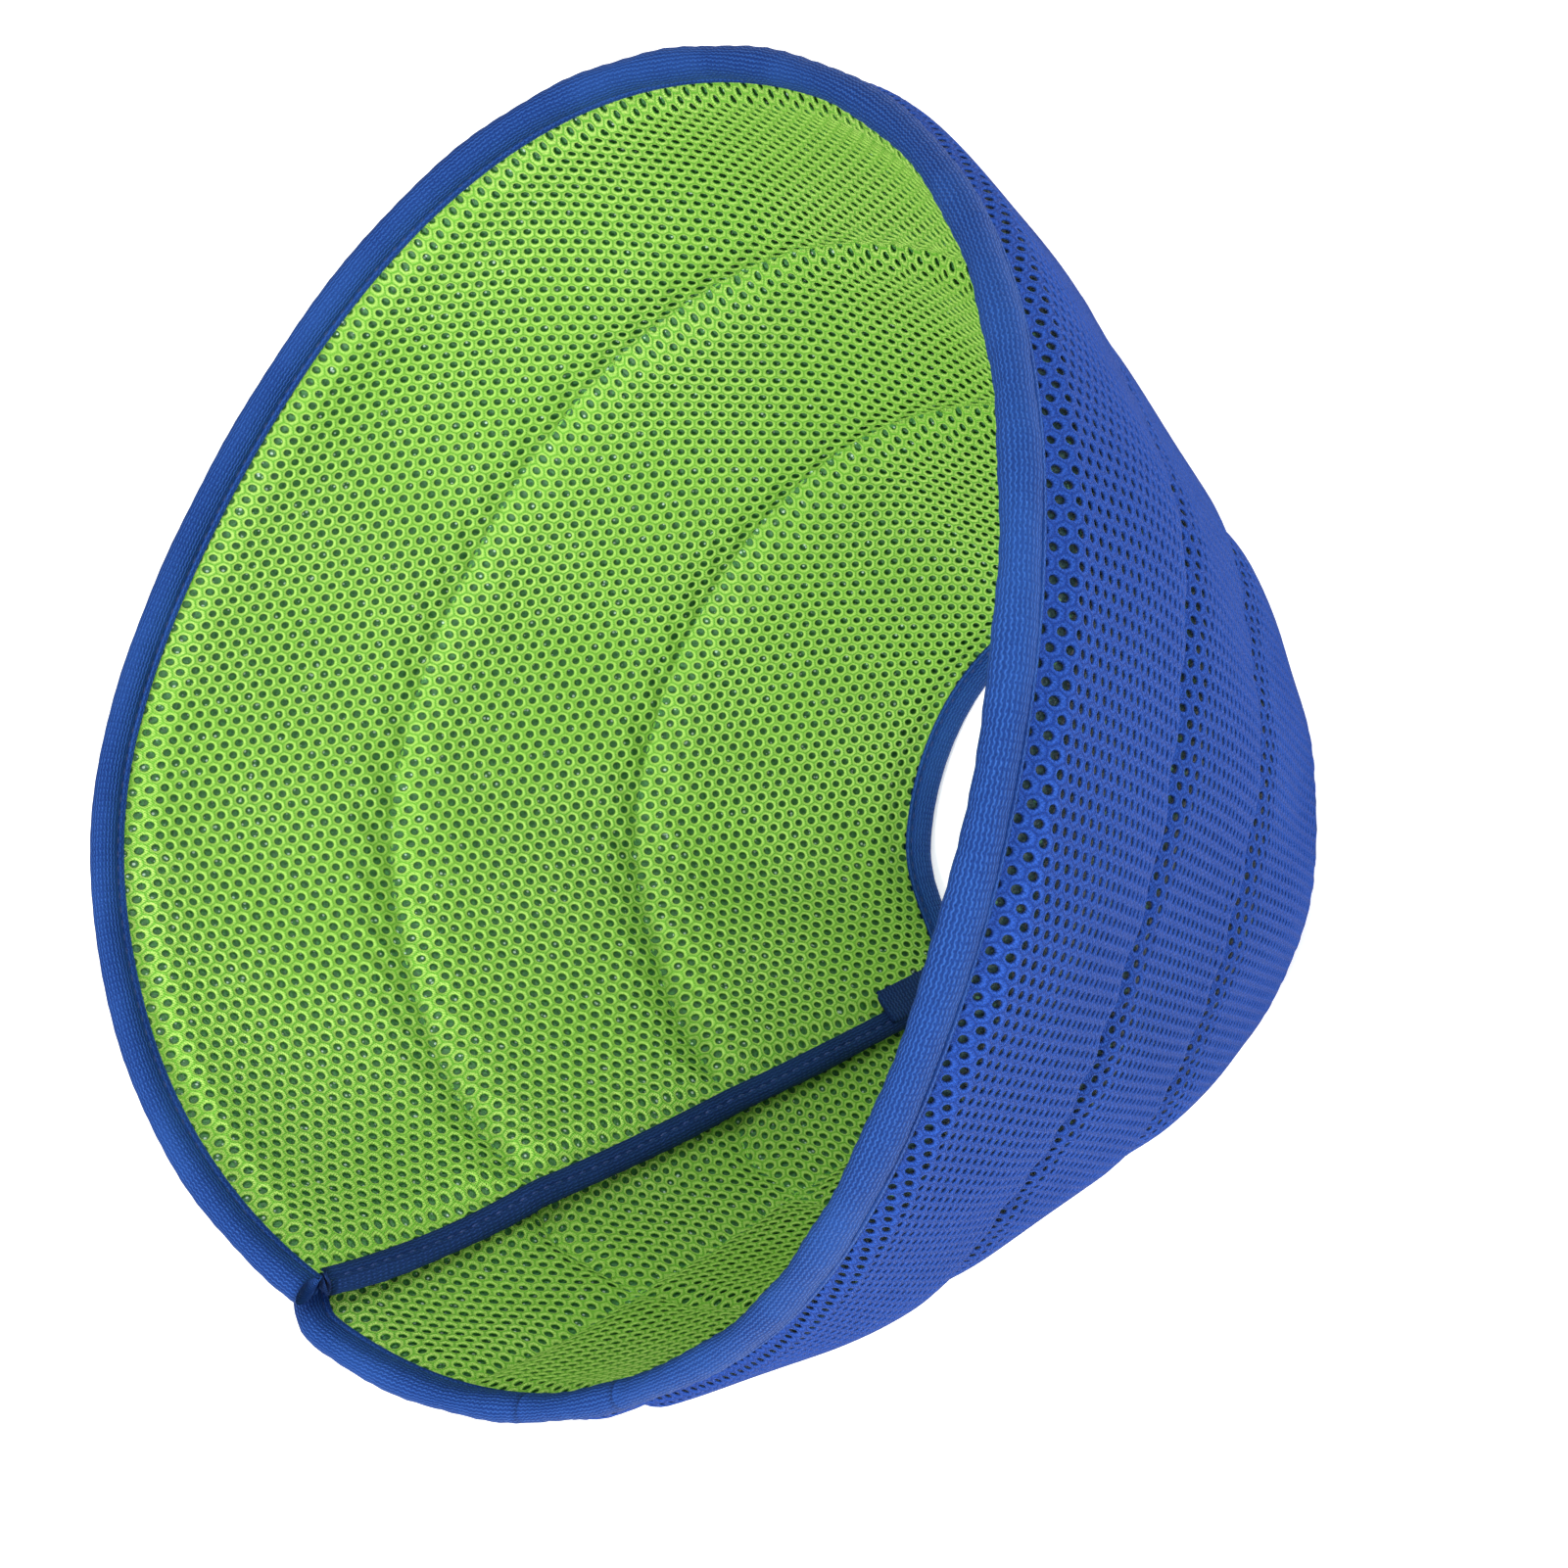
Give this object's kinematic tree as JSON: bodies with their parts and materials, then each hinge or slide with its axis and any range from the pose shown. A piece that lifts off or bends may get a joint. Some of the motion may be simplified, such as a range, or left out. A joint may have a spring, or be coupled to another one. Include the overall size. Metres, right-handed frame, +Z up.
{
  "type": "soft pet cone collar",
  "caption": "Soft quilted cone collar: blue air-mesh outside, green lining, bound edges, ends lapped into a cone with a folding outer flap held by hook tapes.",
  "frame": {"origin": "on the floor plane that the neck edge stands on, under the middle of the collar's outline", "axes": "+Z up along the collar from the neck edge to the mouth; the inner end's free edge meets the mouth on the -Y side, with the outer flap's folds towards +X of it"},
  "size_m": [0.3016, 0.3204, 0.2189],
  "materials": {
    "outer_mesh": "royal-blue knitted air mesh with oval holes, matt",
    "lining_mesh": "lime-green knitted air mesh with oval holes, matt with a faint sheen",
    "foam": "white open-cell foam, inside the panel",
    "binding": "bright blue ribbed knitted tape",
    "end_binding": "dark blue ribbed knitted tape",
    "thread_top": "blue sewing thread",
    "thread_bobbin": "green sewing thread",
    "thread_edge": "blue sewing thread",
    "hook_tape": "black hook tape"
  },
  "bodies": {
    "collar": {"outer_mesh_body": "outer_mesh", "lining_mesh_body": "lining_mesh", "foam_neck_body": "foam", "foam_middle_body": "foam", "foam_rim_body": "foam", "rim_binding_body": "binding", "neck_binding_body": "binding", "inner_end_binding": "end_binding", "neck_corner_tab": "end_binding", "hook_tape_neck": "hook_tape", "hook_tape_middle": "hook_tape", "hook_tape_rim": "hook_tape", "lower_seam_top_thread_body": "thread_top", "lower_seam_bobbin_thread_body": "thread_bobbin", "upper_seam_top_thread_body": "thread_top", "upper_seam_bobbin_thread_body": "thread_bobbin", "rim_binding_thread": "thread_edge", "neck_binding_thread": "thread_edge", "inner_end_thread": "thread_edge"},
    "fold_panel": {"outer_mesh_fold": "outer_mesh", "lining_mesh_fold": "lining_mesh", "foam_neck_fold": "foam", "foam_middle_fold": "foam", "foam_rim_fold": "foam", "rim_binding_fold": "binding", "neck_binding_fold": "binding", "lower_seam_top_thread_fold": "thread_top", "lower_seam_bobbin_thread_fold": "thread_bobbin", "upper_seam_top_thread_fold": "thread_top", "upper_seam_bobbin_thread_fold": "thread_bobbin", "fold_b_top_thread_seam": "thread_top", "fold_b_bobbin_thread_seam": "thread_bobbin"},
    "flap_end": {"outer_mesh_end": "outer_mesh", "lining_mesh_end": "lining_mesh", "foam_neck_end": "foam", "foam_middle_end": "foam", "foam_rim_end": "foam", "flap_end_binding": "binding", "lower_seam_top_thread_end": "thread_top", "lower_seam_bobbin_thread_end": "thread_bobbin", "upper_seam_top_thread_end": "thread_top", "upper_seam_bobbin_thread_end": "thread_bobbin", "fold_a_top_thread_seam": "thread_top", "fold_a_bobbin_thread_seam": "thread_bobbin"}
  },
  "joints": [
    {"name": "fold_b_peel", "type": "hinge", "parent": "collar", "child": "fold_panel", "pos_m": [0.05982, -0.09797, 0.08223], "axis": [0.2887, -0.2763, 0.9167], "range_deg": [0, 35]},
    {"name": "fold_a_peel", "type": "hinge", "parent": "fold_panel", "child": "flap_end", "pos_m": [0.02423, -0.119, 0.0859], "axis": [0.177, -0.4164, 0.8918], "range_deg": [0, 60]}
  ]
}
